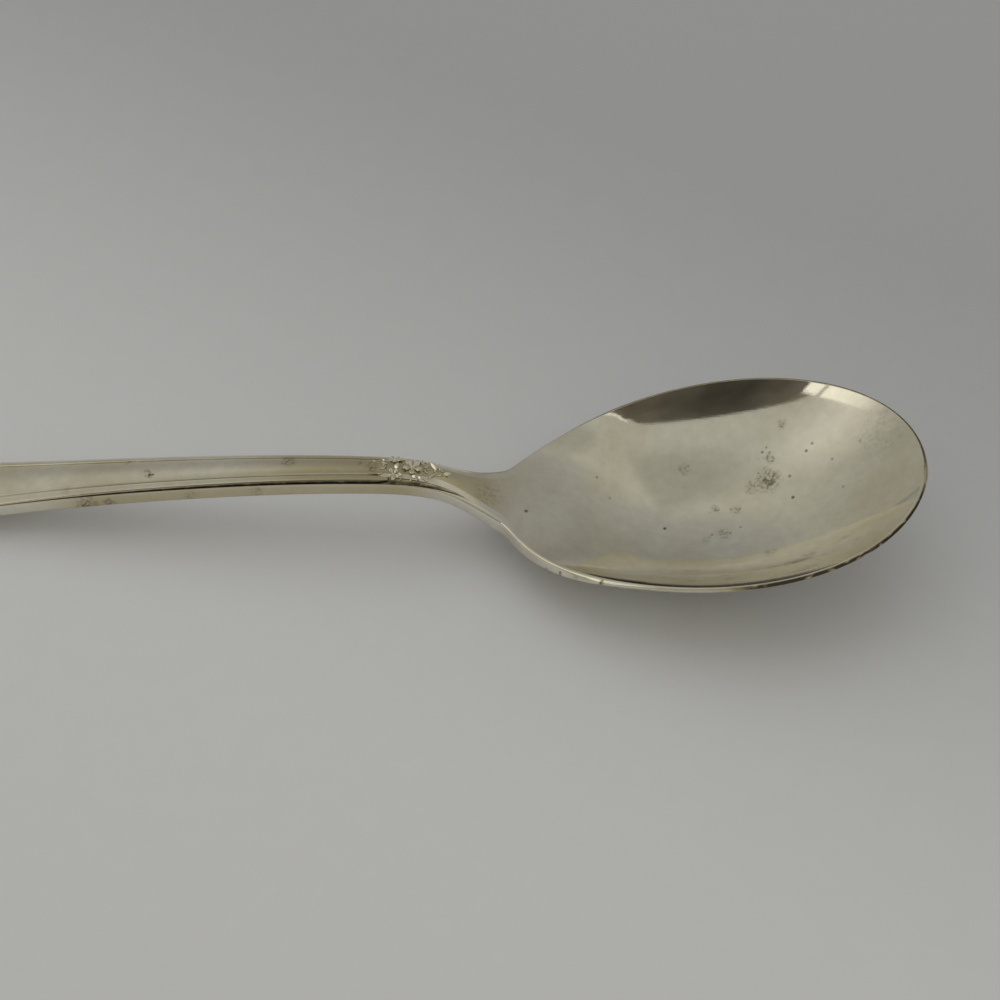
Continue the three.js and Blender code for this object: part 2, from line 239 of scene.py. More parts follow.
def hollowDepth(x, v):  # how far the bowl is sunk, at a share across
    if x <= 0:
        return 0
    s = min(1, 2 * x / shape["bowlLength"] - 1)
    rim = s * s + (1 - s * s) * v * v
    entry = lerp(*shape["bowlEntry"], v * v)  # the walls come in sooner than the floor
    return shape["bowlDepth"] * (1 - rim ** (shape["floorPower"] / 2)) * ease(x, 0, entry)


def topHeight(x, y):
    v = acrossShare(x, y)
    return edgeHeight(x) + crownHeight(x) * (1 - v * v) - hollowDepth(x, v)


def wallThickness(x, v):
    neckShare = ease(x, shape["middleStation"], shape["waistStation"])
    rimShare = ease(x, shape["neckJoint"], shape["rimRun"])
    wall = lerp(shape["handleEdge"], shape["neckEdge"], neckShare)
    wall = lerp(wall, shape["shoulderEdge"], ease(x, shape["waistStation"], 0))
    belly = lerp(shape["handleBelly"], shape["neckBelly"], neckShare)
    middle = lerp(belly, shape["bowlWall"] - shape["rimThickness"], rimShare)
    return lerp(wall, shape["rimThickness"], rimShare) + middle * (1 - v * v)


def threadSpan(x):  # the thread's outer and inner distance from the edge
    along = ease(x, roundStation, shape["threadStation"])
    outer = lerp(*shape["threadInset"], along)
    return outer, outer + lerp(*shape["threadWidth"], along)


def grooveDepth(x, inset):  # channel of the thread, and the edge groove that runs on past the ornament
    station, ledge = shape["threadStation"], shape["ledge"]
    border = threadSpan(x)[1] + shape["channelGap"]
    offLedge = ease(inset, ledge, ledge + shape["ledgeSlope"])
    channel = offLedge * (1 - ease(inset, border - shape["borderSlope"], border))
    channel *= 1 - ease(x, *(station + run for run in shape["channelEnd"]))
    if inset > sum(threadSpan(x)) / 2:  # the inner line dies out before the ornament
        channel *= 1 - ease(x, *(station + run for run in shape["innerLineEnd"]))
    width = lerp(*shape["edgeGrooveWidth"], ease(x, station, shape["edgeGrooveEnd"][1]))
    edgeGroove = offLedge * (1 - ease(inset, *(width + run for run in shape["edgeGrooveSlope"])))
    edgeGroove *= 1 - ease(x, *shape["edgeGrooveEnd"])
    return max(channel * shape["channelDepth"], edgeGroove * shape["edgeGrooveDepth"])


def outlineStops(fromStation, withBowl):  # half the outline: station, edge point, and the place inside it faces
    length = shape["bowlLength"]
    stops = []
    if withBowl:
        for i in range(shape["bowlColumns"]):
            x = length * (1 + math.cos(math.pi * i / shape["bowlColumns"])) / 2
            inner = length / 2 + (x - length / 2) * shape["tipFan"] if x > length / 2 else x
            stops.append((x, x, -halfWidth(x), inner))
    for i in range(shape["sideColumns"]):
        x = lerp(fromStation, roundStation, i / shape["sideColumns"])
        stops.append((x, x, -halfWidth(x), x))
    for i in range(shape["endColumns"] + 1):
        turn = math.pi / 2 * i / shape["endColumns"]
        edgeX = roundStation - shape["endRound"] * math.sin(turn)
        stops.append((roundStation, edgeX, -shape["endWidth"] / 2 * math.cos(turn), roundStation))
    return stops


def bothSides(stops):  # the half outline, then the same mirrored and run back
    return stops + [(x, edgeX, -edgeY, inner) for x, edgeX, edgeY, inner in reversed(stops[:-1])]


def topPoint(stop, share, lower=0.0):
    x, edgeX, edgeY, inner = stop
    px, py = lerp(inner, edgeX, share), edgeY * share
    if x > roundStation:
        return Vector((px, py, topHeight(px, py) - lower))
    return Vector((px, py, edgeHeight(px) + crownHeight(x) * (1 - share * share) - lower))


def backPoint(stop, share):
    x, edgeX, edgeY, inner = stop
    px, py = lerp(inner, edgeX, share), edgeY * share
    if x <= roundStation:
        return Vector((px, py, max(0, edgeHeight(px) - wallThickness(x, share))))
    v = acrossShare(px, py)
    step = shape["slopeStep"]
    qx = lerp(px, inner, 0.01) if edgeX != inner else px  # the slope is taken a little inside the edge
    qx = min(qx, shape["bowlLength"] - step)
    qy = py * 0.99
    tilt = ease(px, shape["neckJoint"], shape["shoulderRun"])
    along = (topHeight(qx, qy) - topHeight(qx - step, qy)) * tilt
    across = (topHeight(qx, qy + step / 2) - topHeight(qx, qy - step / 2)) * tilt
    down = Vector((along, across, -step)).normalized()
    followsTop = ease(px, shape["waistStation"], 2)
    z = edgeHeight(px) + followsTop * crownHeight(px) * (1 - v * v) - hollowDepth(px, v)
    point = Vector((px, py, z)) + down * wallThickness(px, v)
    point.z = max(0, point.z)
    return point


def roundedCorner(a, corner, b, steps):
    return [a.lerp(corner, i / steps).lerp(corner.lerp(b, i / steps), i / steps) for i in range(steps + 1)]


# Where tarnish lies on the body, and on the rims painted dark reflection with it: stations and mm across, shares of
# the way down the edge, amounts (1 is full)
tarnishAndShadeLook = {
    "neckAmount": (0.34, 0.2), "neckAcross": (-1.5, 1), "neckFrom": (-36, -19), "neckTo": (-6, 4),
    "sprayAmount": 0.12, "sprayFrom": (-15.2, -13.8), "sprayTo": (-9.8, -8),
    "grooveDepth": (0.05, 0.2), "grooveAmount": (0.2, 1), "grooveRun": (-66, -48),
    "nearAmount": (0.1, 1.4), "nearBlack": (27, 34), "nearFrom": (16, 21), "nearTo": (51, 54),
    "nearAcross": (-1, 1), "nearDown": (0.2, 0.42), "nearUnder": (0.8, 1),
    "chipScale": (0.7, 2.6), "chipShare": 0.8, "chipEdge": (-0.8, -0.2),
    "farAmount": (0.7, 0.95), "farDark": (36, 46), "farFrom": (-4, 4), "farAcross": (-3, 1),
    "farDown": (0.02, 0.12), "farUnder": (0.5, 0.8),
    "sideAmount": 0.3, "sideFrom": (-62, -48), "sideTo": (-14, -4), "sideDown": (0.25, 0.45),
}


def neckFilm(point):  # a thin even tarnish on the upper handle
    amount = lerp(*tarnishAndShadeLook["neckAmount"], ease(point.y, *tarnishAndShadeLook["neckAcross"]))
    return amount * between(point.x, tarnishAndShadeLook["neckFrom"], tarnishAndShadeLook["neckTo"])


def grooveGrime(x, depth):  # tarnish left in the grooves, rubbed thinner towards the handle's end
    amount = lerp(*tarnishAndShadeLook["grooveAmount"], ease(x, *tarnishAndShadeLook["grooveRun"]))
    return amount * ease(depth, *tarnishAndShadeLook["grooveDepth"])


def rimTarnishAndPaintedShade(point, down):  # on the edge: chipped black on the near rim and a thin dark line on the far one, each partly tarnish and partly painted dark reflection; a brown darkening down the handle's side
    look = tarnishAndShadeLook
    # near rim: black tarnish, pushed past full strength as painted dark reflection
    near = lerp(*look["nearAmount"], ease(point.x, *look["nearBlack"]))
    near *= between(point.x, look["nearFrom"], look["nearTo"]) * (1 - ease(point.y, *look["nearAcross"]))
    near *= between(down, look["nearDown"], look["nearUnder"])
    coarse, fine = [noise.noise(point * scale) for scale in look["chipScale"]]
    near *= ease(coarse + look["chipShare"] * fine, *look["chipEdge"])
    # far rim: painted dark in place of its highlight, with some brown tarnish
    far = lerp(*look["farAmount"], ease(point.x, *look["farDark"])) * ease(point.x, *look["farFrom"])
    far *= ease(point.y, *look["farAcross"]) * between(down, look["farDown"], look["farUnder"])
    # handle's side wall: a brown darkening along it
    side = look["sideAmount"] * between(point.x, look["sideFrom"], look["sideTo"]) * ease(down, *look["sideDown"])
    return max(near, far, side)


def bodySection(stop):  # (point, tarnish and painted shade) pairs from the top middle over panel, grooves and edge to the back middle
    x, edgeX, edgeY, inner = stop
    run = math.hypot(edgeX - inner, edgeY)
    border = threadSpan(x)[1] + shape["channelGap"]
    panelEdge = border + shape["borderSlope"]
    lip = lerp(shape["ledgeRound"], shape["shoulderRound"], ease(x, *shape["shoulderRoundRun"]))
    farRound, nearRound = shape["rimRound"]
    if edgeY < 0:
        lip = lerp(lip, nearRound, ease(x, *shape["nearRoundRun"]))
    else:
        lip = lerp(lip, farRound, ease(x, *shape["farRoundRun"]))
    rows = []
    underSpray = tarnishAndShadeLook["sprayAmount"] * between(x, tarnishAndShadeLook["sprayFrom"], tarnishAndShadeLook["sprayTo"])
    for i in range(shape["panelRows"]):
        point = topPoint(stop, 1 - lerp(run, panelEdge, i / shape["panelRows"]) / run)
        rows.append((point, neckFilm(point) + underSpray))
    insets = (panelEdge, border, border - shape["borderSlope"], (border + shape["grooveRows"][0]) / 2)
    for inset in insets + shape["grooveRows"]:
        depth = grooveDepth(x, inset)
        shifted = lip + (inset - shape["ledgeRound"]) * (panelEdge - lip) / (panelEdge - shape["ledgeRound"])
        rows.append((topPoint(stop, 1 - shifted / run, depth), grooveGrime(x, depth) if edgeY < 0 else 0.0))
    topEdge, backEdge = topPoint(stop, 1), backPoint(stop, 1)
    wall = backEdge - topEdge
    upper = topEdge + wall * min(shape["roundLimit"], lip / wall.length)
    lower = backEdge - wall * min(shape["roundLimit"], shape["backRound"] / wall.length)
    turned = shape["backRound"] / run
    rim = roundedCorner(topPoint(stop, 1 - lip / run), topEdge, upper, shape["roundSteps"])
    rim += [(upper + lower) / 2]
    rim += roundedCorner(lower, backEdge, backPoint(stop, 1 - turned), shape["roundSteps"])
    for i, point in enumerate(rim):
        rows.append((point, rimTarnishAndPaintedShade(point, i / (len(rim) - 1))))
    for i in range(1, shape["backRows"] + 1):
        rows.append((backPoint(stop, (1 - turned) * (1 - i / shape["backRows"])), 0.0))
    return rows


def selectOnly(*pieces):
    bpy.ops.object.select_all(action="DESELECT")
    for piece in pieces:
        piece.select_set(True)
    if pieces:
        bpy.context.view_layer.objects.active = pieces[0]


def gridPiece(name, sections):  # a grid laid over the sections (mm), its meeting edges merged
    selectOnly()
    columns, rows = len(sections), len(sections[0])
    bpy.ops.mesh.primitive_grid_add(x_subdivisions=columns - 1, y_subdivisions=rows - 1, size=2)
    piece = bpy.context.object
    piece.name = name
    tarnish_and_shade = piece.data.attributes.new("tarnish_and_shade", "FLOAT", "POINT")
    for vertex in piece.data.vertices:
        column = round((vertex.co.x + 1) / 2 * (columns - 1))
        row = round((vertex.co.y + 1) / 2 * (rows - 1))
        vertex.co, tarnish_and_shade.data[vertex.index].value = sections[column][row]
    bpy.ops.object.mode_set(mode="EDIT")
    bpy.ops.mesh.select_all(action="SELECT")
    bpy.ops.mesh.remove_doubles(threshold=shape["mergeGap"])
    bpy.ops.mesh.dissolve_degenerate(threshold=shape["mergeGap"] / 4)
    bpy.ops.mesh.normals_make_consistent(inside=False)
    bpy.ops.object.mode_set(mode="OBJECT")
    return piece


def settlePiece(piece):  # from mm and stations to metres in the frame, with the place in the mesh
    selectOnly(piece)
    piece.scale = (mm, mm, mm)
    piece.location = (stationShift * mm, 0, 0)
    bpy.ops.object.transform_apply(location=True, rotation=True, scale=True)
    bpy.ops.object.shade_smooth()
    piece.data.materials.clear()


# Bowl, neck and handle, polished over their joint
bodyStops = bothSides(outlineStops(0, True))
spoonBody = gridPiece("spoon_body", [bodySection(stop) for stop in bodyStops])
settlePiece(spoonBody)
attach(spoonBody, "root")
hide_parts("bowl", "handle")
print("spoon body:", len(spoonBody.data.polygons), "faces")

# Thread border: a soft bead in its channel, its ends tapered beside the ornament
bead = {
    "proud": 0.15, "seat": 0.36, "roundPower": 0.8, "nose": 3.6, "noseSteps": 12, "noseSunk": 0.08, "arcSteps": 14,
    "climb": (0.15, 0.85), "climbRun": (-62, -22), "innerClimb": 0.35, "stainStart": 0.4,
}  # mm and stations; how far up its sides tarnish climbs, further on the outer side towards the ornament


def beadSection(stop, fade):
    x, edgeX, edgeY, innerX = stop
    outer, inner = threadSpan(x)
    run = math.hypot(edgeX - innerX, edgeY)
    middle = (outer + inner) / 2
    dirt = grooveGrime(x, shape["channelDepth"]) if edgeY < 0 else 0.0
    climb = lerp(*bead["climb"], ease(x, *bead["climbRun"]))
    ring = []
    for i in range(bead["arcSteps"] + 1):
        turn = math.pi * i / bead["arcSteps"]
        inset = middle - (inner - outer) / 2 * math.cos(turn) * fade
        rise = bead["proud"] * math.sin(turn) ** bead["roundPower"] * fade - bead["noseSunk"] * (1 - fade)
        reach = climb if turn < math.pi / 2 else bead["innerClimb"]
        stained = dirt * (1 - ease(math.sin(turn), bead["stainStart"] * reach, reach))
        point = topPoint(stop, 1 - inset / run, -rise)
        ring.append((point, max(stained, neckFilm(point))))
    for inset in (lerp(middle, inner, fade), middle, lerp(middle, outer, fade)):
        ring.append((topPoint(stop, 1 - inset / run, bead["seat"]), dirt))
    return ring + ring[:1]


noseStart = shape["threadStation"] - bead["nose"]
noseStops = []
for i in range(bead["noseSteps"]):
    x = lerp(shape["threadStation"], noseStart, i / bead["noseSteps"])
    noseStops.append((x, x, -halfWidth(x), x))
threadSections = []
for stop in bothSides(noseStops + outlineStops(noseStart, False)):
    fromEnd = min(1, (shape["threadStation"] - stop[0]) / bead["nose"])
    threadSections.append(beadSection(stop, math.sqrt(max(0, 1 - (1 - fromEnd) ** 2))))
threadBorder = gridPiece("thread_bead", threadSections)
settlePiece(threadBorder)
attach(threadBorder, "root")
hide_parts("thread_border")
print("thread border:", len(threadBorder.data.polygons), "faces")

# Flower spray: a five-petal flower, two smaller ones towards the handle, seeds and leaves
relief = {
    "flowerAt": -11.1, "budAt": -13.4, "budAside": 1.25, "budScale": 0.66, "petals": 5, "petalReach": 0.72,
    "petalSize": (0.62, 0.44, 0.2), "petalTilt": 0.55, "seedSize": (0.36, 0.36, 0.5), "leafSize": (1.0, 0.34, 0.44),
    "petalPhase": 0.75, "petalNarrow": 0.55, "petalHinge": 0.6, "leafPoint": (0.75, 1.6), "bulbMesh": (24, 14),
    "sunk": 0.1, "thinnest": 0.35, "bladeSize": 0.12, "bladeLift": 0.2, "bladeFlat": 8,
    "voxel": 0.04, "wearFactor": 0.5, "wearRounds": 2, "lowGrime": 0.5, "lowHeights": (0.02, 0.14),
    "leaves": [  # station, aside, turn, scale; each has a twin across the middle line
        (-9.3, 1.5, 0.35, 0.5), (-10.2, 1.55, 0.9, 0.5), (-7.6, 0.45, -0.4, 0.5), (-12.4, 1.75, 2.3, 0.45),
        (-12.3, 0.4, 1.2, 0.4), (-14.7, 0.4, 2.8, 0.5), (-9.4, 0.4, 0.5, 0.45), (-14.9, 1.15, 2.5, 0.4),
        (-11.2, 1.75, 1.6, 0.35), (-16.0, 0.75, 2.7, 0.35)],
    "blades": [  # station, aside, way along the leaf, half length, half width; twins off the middle line
        (-8.5, 0.78, (0.62, -0.78, -0.2), 0.8, 0.3), (-6.75, 0, (1, -0.08, 0.27), 0.56, 0.28),
        (-13.1, -0.25, (0.8, -0.56, 0), 0.36, 0.3), (-12.6, -1.3, (0.8, -0.56, 0), 0.34, 0.28),
        (-10.8, -1.35, (0.8, -0.56, 0), 0.34, 0.28), (-10.1, -1.4, (0.8, -0.56, 0), 0.32, 0.26)],
    "bladeFacing": (-0.38, -0.545, 0.745),
    "seeds": [  # station, aside, scale
        (-12.9, 0.0, 0.5), (-10.0, 0.95, 0.4), (-10.0, -0.95, 0.4), (-12.3, 1.25, 0.4), (-12.3, -1.25, 0.4),
        (-14.7, 0.0, 0.45), (-8.3, 0.0, 0.5), (-9.2, 0.0, 0.4), (-13.2, 1.75, 0.35), (-13.2, -1.75, 0.35)],
}  # mm and stations


def reliefStart(kind, size):  # a ball shaped into a petal, leaf, blade or seed lying along +X
    selectOnly()
    segments, rings = relief["bulbMesh"]
    bpy.ops.mesh.primitive_uv_sphere_add(segments=segments, ring_count=rings, radius=1)
    bulb = bpy.context.object
    bulb.name = kind
    bpy.ops.object.mode_set(mode="EDIT")
    bpy.ops.mesh.select_all(action="SELECT")
    bpy.ops.transform.resize(value=size)
    bpy.ops.object.mode_set(mode="OBJECT")
    for vertex in bulb.data.vertices:
        along, aside = vertex.co.x / size[0], vertex.co.y / size[1]
        if kind == "petal":  # narrow at the flower's middle
            vertex.co.y *= lerp(relief["petalNarrow"], 1, ease(along, -1, 0.5))
        if kind == "leaf":  # pointed, with two flat sides that meet in a ridge along it
            full = math.sqrt(max(0, 1 - along * along))
            if vertex.co.z > 0:
                vertex.co.z = size[2] * max(0, full - abs(aside))
            narrowing, power = relief["leafPoint"]
            vertex.co.y *= 1 - narrowing * abs(along) ** power
        if kind == "blade":  # a thin leaf, flat over most of its face
            full = 1 - min(1, math.hypot(along, aside)) ** relief["bladeFlat"]
            vertex.co.z = math.copysign(full, vertex.co.z)
        elif vertex.co.z < 0:  # flat underneath
            vertex.co.z *= relief["sunk"] / size[2]
    return bulb


def copyOf(start):
    selectOnly(start)
    bpy.ops.object.duplicate(linked=False)
    return bpy.context.object


def placeRelief(start, x, y, turn, scale, tilt=0):  # a copy of a shaped bulb, laid on the neck
    copy = copyOf(start)
    step = shape["slopeStep"]
    ahead = (topHeight(x + step, y) - topHeight(x - step, y)) / (2 * step)
    aside = (topHeight(x, y + step) - topHeight(x, y - step)) / (2 * step)
    lie = Vector((0, 0, 1)).rotation_difference(Vector((-ahead, -aside, 1)))
    copy.rotation_mode = "QUATERNION"
    copy.rotation_quaternion = lie @ Quaternion((0, 0, 1), turn) @ Quaternion((0, 1, 0), -tilt)
    copy.scale = (scale, scale, min(1, lerp(relief["thinnest"], 1, scale)))
    lift = relief["petalHinge"] * relief["petalSize"][0] * scale * math.sin(tilt)
    copy.location = (x, y, topHeight(x, y) + lift)
    bpy.ops.object.transform_apply(location=True, rotation=True, scale=True)
    return copy


def placeBlade(start, x, y, way, facing, length, width):  # a thin leaf whose flat side has the given facing
    copy = copyOf(start)
    along = way.normalized()
    facing = (facing - along * facing.dot(along)).normalized()
    turned = Matrix((along * length, facing.cross(along) * width, facing * relief["bladeSize"])).transposed()
    copy.matrix_world = Matrix.Translation((x, y, topHeight(x, y) + relief["bladeLift"])) @ turned.to_4x4()
    bpy.ops.object.transform_apply(location=True, rotation=True, scale=True)
    return copy


petalStart = reliefStart("petal", relief["petalSize"])
seedStart = reliefStart("seed", relief["seedSize"])
leafStart = reliefStart("leaf", relief["leafSize"])
bladeStart = reliefStart("blade", (1, 1, 1))
reliefParts = []
flowers = [(relief["flowerAt"], 0, 1), (relief["budAt"], relief["budAside"], relief["budScale"]),
           (relief["budAt"], -relief["budAside"], relief["budScale"])]
for x, y, scale in flowers:
    for i in range(relief["petals"]):
        turn = 2 * math.pi * (i + relief["petalPhase"]) / relief["petals"]
        reach = relief["petalReach"] * scale
        reliefParts.append(placeRelief(petalStart, x + reach * math.cos(turn), y + reach * math.sin(turn), turn,
                                       scale, relief["petalTilt"]))
    reliefParts.append(placeRelief(seedStart, x, y, 0, scale))
for x, y, turn, scale in relief["leaves"]:
    for side in (1, -1):
        reliefParts.append(placeRelief(leafStart, x, y * side, turn * side, scale))
for x, y, way, length, width in relief["blades"]:
    for side in ((1, -1) if y else (1,)):
        mirror = Vector((1, side, 1))
        reliefParts.append(placeBlade(bladeStart, x, y * side, Vector(way) * mirror,
                                      Vector(relief["bladeFacing"]) * mirror, length, width))
for x, y, scale in relief["seeds"]:
    reliefParts.append(placeRelief(seedStart, x, y, 0, scale))
selectOnly(petalStart, seedStart, leafStart, bladeStart)
bpy.ops.object.delete()
selectOnly(*reliefParts)
bpy.ops.object.join()
flowerSpray = bpy.context.object
flowerSpray.name = "flower_relief"
remesh = flowerSpray.modifiers.new("struck", "REMESH")
remesh.mode = "VOXEL"
remesh.voxel_size = relief["voxel"]
bpy.ops.object.modifier_apply(modifier="struck")
soften = flowerSpray.modifiers.new("worn", "SMOOTH")
soften.factor = relief["wearFactor"]
soften.iterations = relief["wearRounds"]
bpy.ops.object.modifier_apply(modifier="worn")
tarnish_and_shade = flowerSpray.data.attributes.new("tarnish_and_shade", "FLOAT", "POINT")
for vertex in flowerSpray.data.vertices:  # dark in the low places
    height = vertex.co.z - topHeight(vertex.co.x, vertex.co.y)
    tarnish_and_shade.data[vertex.index].value = relief["lowGrime"] * (1 - ease(height, *relief["lowHeights"]))
settlePiece(flowerSpray)
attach(flowerSpray, "root")
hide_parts("flower_spray")
print("flower spray:", len(flowerSpray.data.polygons), "faces")

# Silver plate, worn: a soft polish with fine rubbing, yellowed in clouds, brown spots, dark in the grooves, and
# painted dark reflection along the rims
silverLook = {  # sizes in mm
    "clean": "#EFECE1", "yellowed": "#E4DFCD", "cloudSize": 11, "yellowSpan": (0.38, 0.66),
    "mottleSize": 1.3, "mottleSpan": (0.3, 0.7), "mottleShade": (0.93, 1.03),
    "spot": "#6A5F4B", "speckSize": 0.45, "speckSpan": (0.45, 0.62), "speckAmount": (0.3, 1.4),
    "raggedScale": 1.4, "ragged": 1.6, "spotCore": 0.2,
    # the dark tarnish colour also paints the dark reflection along the rims
    "film": "#FFF7E0", "filmFull": 0.25, "tarnishAndShadeTone": "#51473A", "rubbedThin": (0.32, 0.52), "thinAmount": (0.6, 0.95),
    "roughness": 0.055, "rubbed": 0.03, "tarnishRough": 0.4, "rubLength": 5, "rubWidth": 0.16,
    "rubTurns": (0.12, 0.75, -0.5), "rubSpan": (1.1, 1.9), "bump": 0.03, "bumpDepth": 0.00002,
    "rimFilm": (-12.5, -16.0), "rimMetal": 0.62,
}
tarnishSpots = [  # frame place in mm, radius in mm, strength
    ((56.1, 6.7, 4.7), 2.4, 0.6), ((54.3, 6.0, 4.1), 1.5, 0.5), ((56.3, 9.6, 6.0), 1.1, 0.5),
    ((57.8, 13.0, 8.5), 0.9, 0.6), ((49.6, 3.6, 2.1), 0.9, 0.5), ((52.3, 3.0, 2.7), 1.0, 0.4),
    ((50.7, -0.8, 2.1), 1.4, 0.35), ((48.6, -1.6, 1.7), 0.8, 0.35), ((45.4, 9.3, 3.2), 1.2, 0.3),
    ((67.0, 9.5, 12.0), 0.6, 0.4), ((20.5, -0.2, 7.2), 3.0, 0.22), ((56.3, -5.7, 4.4), 1.3, 0.25),
    ((-4.8, 0.7, 10.4), 1.5, 0.4), ((-22.4, -0.8, 8.4), 0.7, 0.9), ((-22.8, -0.3, 8.4), 0.5, 0.8),
    ((-25.8, 1.6, 7.8), 0.6, 0.6), ((-30.2, -3.5, 5.1), 2.2, 0.6), ((-27.6, -3.4, 5.5), 1.2, 0.45),
    ((70.5, 8.5, 12.5), 6.0, 0.12), ((-17.0, -3.0, 7.2), 1.4, 0.25), ((-8.5, -2.8, 8.3), 1.3, 0.25),
    ((-33.0, -2.4, 6.4), 0.8, 0.25), ((6.0, -0.4, 11.0), 1.2, 0.45), ((4.6, 0.6, 11.2), 0.8, 0.4),
    ((28.6, -11.0, 5.2), 0.6, 0.8), ((30.3, -12.3, 5.8), 0.5, 0.8), ((32.2, -13.5, 6.6), 0.45, 0.6),
    ((35.3, -15.2, 7.5), 0.6, 0.85), ((37.4, -15.6, 7.6), 0.5, 0.7),
]
tarnishPits = [  # the small round ones
    ((43.2, 0.9, 0.9), 0.34, 0.95), ((59.3, 3.4, 5.1), 0.36, 0.9), ((60.9, 9.3, 7.7), 0.32, 0.8),
    ((61.6, 10.0, 8.4), 0.3, 0.65), ((64.1, 7.2, 8.5), 0.3, 0.55), ((58.9, 6.6, 5.7), 0.34, 0.65),
    ((55.4, 10.4, 6.0), 0.3, 0.7), ((56.7, 9.1, 5.8), 0.28, 0.6), ((54.9, 9.6, 5.6), 0.28, 0.5),
    ((55.9, 10.9, 6.4), 0.26, 0.5), ((55.7, 6.8, 4.5), 0.4, 0.85), ((57.0, 6.3, 4.8), 0.32, 0.7),
    ((56.4, 7.6, 4.9), 0.28, 0.6), ((55.0, 7.9, 4.6), 0.3, 0.5), ((34.2, 6.3, 4.2), 0.3, 0.6),
    ((36.0, 3.7, 3.2), 0.3, 0.4), ((54.1, 6.5, 3.9), 0.3, 0.5), ((25.5, -1.9, 5.9), 0.4, 0.85),
    ((52.7, 3.2, 2.8), 0.32, 0.6), ((51.6, 3.3, 2.5), 0.28, 0.5), ((49.2, -0.7, 1.8), 0.3, 0.5),
    ((50.3, -0.8, 2.0), 0.28, 0.45), ((51.5, -0.7, 2.3), 0.3, 0.5), ((52.8, 0.1, 2.6), 0.3, 0.45),
    ((65.4, 2.6, 8.2), 0.36, 0.35), ((67.4, 8.1, 11.1), 0.4, 0.4),
]


def spotMask(tree, place, spots, core):  # the strongest of all the spots at a place
    mask = None
    for spot, radius, strength in spots:
        away = calc(tree, "DISTANCE", place, spot, kind="VectorMath", output="Value")
        mark = remap(tree, away, (radius * core, radius), (strength, 0), soft=True)
        mask = mark if mask is None else calc(tree, "MAXIMUM", mask, mark)
    return mask


def silverPlate(name, look, spots, pits):
    material = bpy.data.materials.new(name)
    tree, coords = startTree(material, "Object")
    place = addNode(tree, "ShaderNodeMapping", {"Scale": (1 / mm, 1 / mm, 1 / mm)}, {"Vector": coords}).outputs[0]
    cloud = clouds(tree, place, 1 / look["cloudSize"], 3).outputs[0]
    mottle = clouds(tree, place, 1 / look["mottleSize"], 4, 0.6).outputs[0]
    rubSum = None
    across = 1 / look["rubWidth"] / mm
    for turn in look["rubTurns"]:  # fine rubbing marks in three directions
        settings = {"Rotation": (0, 0, turn), "Scale": (1 / look["rubLength"] / mm, across, across)}
        lay = addNode(tree, "ShaderNodeMapping", settings, {"Vector": coords}).outputs[0]
        rub = clouds(tree, lay, 1, 2).outputs[0]
        rubSum = rub if rubSum is None else calc(tree, "ADD", rubSum, rub)
    tint = mixTint(tree, remap(tree, cloud, look["yellowSpan"]), look["clean"], look["yellowed"])
    shade = remap(tree, mottle, look["mottleSpan"], look["mottleShade"])
    base = addNode(tree, "ShaderNodeVectorMath", {"operation": "SCALE"}, {0: tint, "Scale": shade}).outputs[0]
    if spots:
        warp = clouds(tree, place, look["raggedScale"], 3).outputs["Color"]
        spread, back = [look["ragged"]] * 3, [-look["ragged"] / 2] * 3
        ragged = calc(tree, "MULTIPLY_ADD", warp, spread, back, kind="VectorMath")
        ragged = calc(tree, "ADD", ragged, place, kind="VectorMath")
        grain = clouds(tree, place, 1 / look["speckSize"], 2).outputs[0]
        speckle = remap(tree, grain, look["speckSpan"], look["speckAmount"])
        stain = calc(tree, "MULTIPLY", spotMask(tree, ragged, spots, look["spotCore"]), speckle)
        stain = calc(tree, "MAXIMUM", stain, spotMask(tree, place, pits, look["spotCore"]))
        base = mixTint(tree, stain, base, look["spot"])
    # tarnish, with painted dark reflection on the rims, read from the pieces' attribute
    tarnish_and_shade = addNode(tree, "ShaderNodeAttribute", {"attribute_name": "tarnish_and_shade"}).outputs["Fac"]
    filmed = remap(tree, tarnish_and_shade, (0, look["filmFull"]))  # thin tarnish is yellow before it is dark
    base = mixTint(tree, filmed, base, look["film"], "MULTIPLY")
    left = remap(tree, mottle, look["rubbedThin"], look["thinAmount"])  # tarnish rubbed thin here and there
    deep = calc(tree, "MULTIPLY", tarnish_and_shade, left)
    base = mixTint(tree, deep, base, look["tarnishAndShadeTone"])
    polish = (look["roughness"] - look["rubbed"] / 2, look["roughness"] + look["rubbed"])
    gloss = remap(tree, rubSum, look["rubSpan"], polish)
    matt = calc(tree, "MULTIPLY_ADD", deep, look["tarnishRough"], gloss)
    settings = {"Strength": look["bump"], "Distance": look["bumpDepth"]}
    bump = addNode(tree, "ShaderNodeBump", settings, {"Height": rubSum}).outputs[0]
    fromMiddle = addNode(tree, "ShaderNodeSeparateXYZ", {}, {0: place}).outputs["Y"]
    metal = remap(tree, fromMiddle, look["rimFilm"], (1.0, look["rimMetal"]))  # dulled by a film under the near rim
    links = {"Base Color": base, "Metallic": metal, "Roughness": matt, "Normal": bump}
    setSurface(tree, addNode(tree, "ShaderNodeBsdfPrincipled", {}, links))
    return material


wornPlate = silverPlate("worn_silver_plate", silverLook, tarnishSpots, tarnishPits)
for piece in (spoonBody, threadBorder):
    piece.data.materials.append(wornPlate)
reliefLook = dict(silverLook, clean="#F0ECDD", yellowed="#E3DCC6", roughness=0.06, cloudSize=2.5, mottleSize=0.5)
flowerSpray.data.materials.append(silverPlate("tarnished_silver_relief", reliefLook, [], []))
print("silver finishes set")

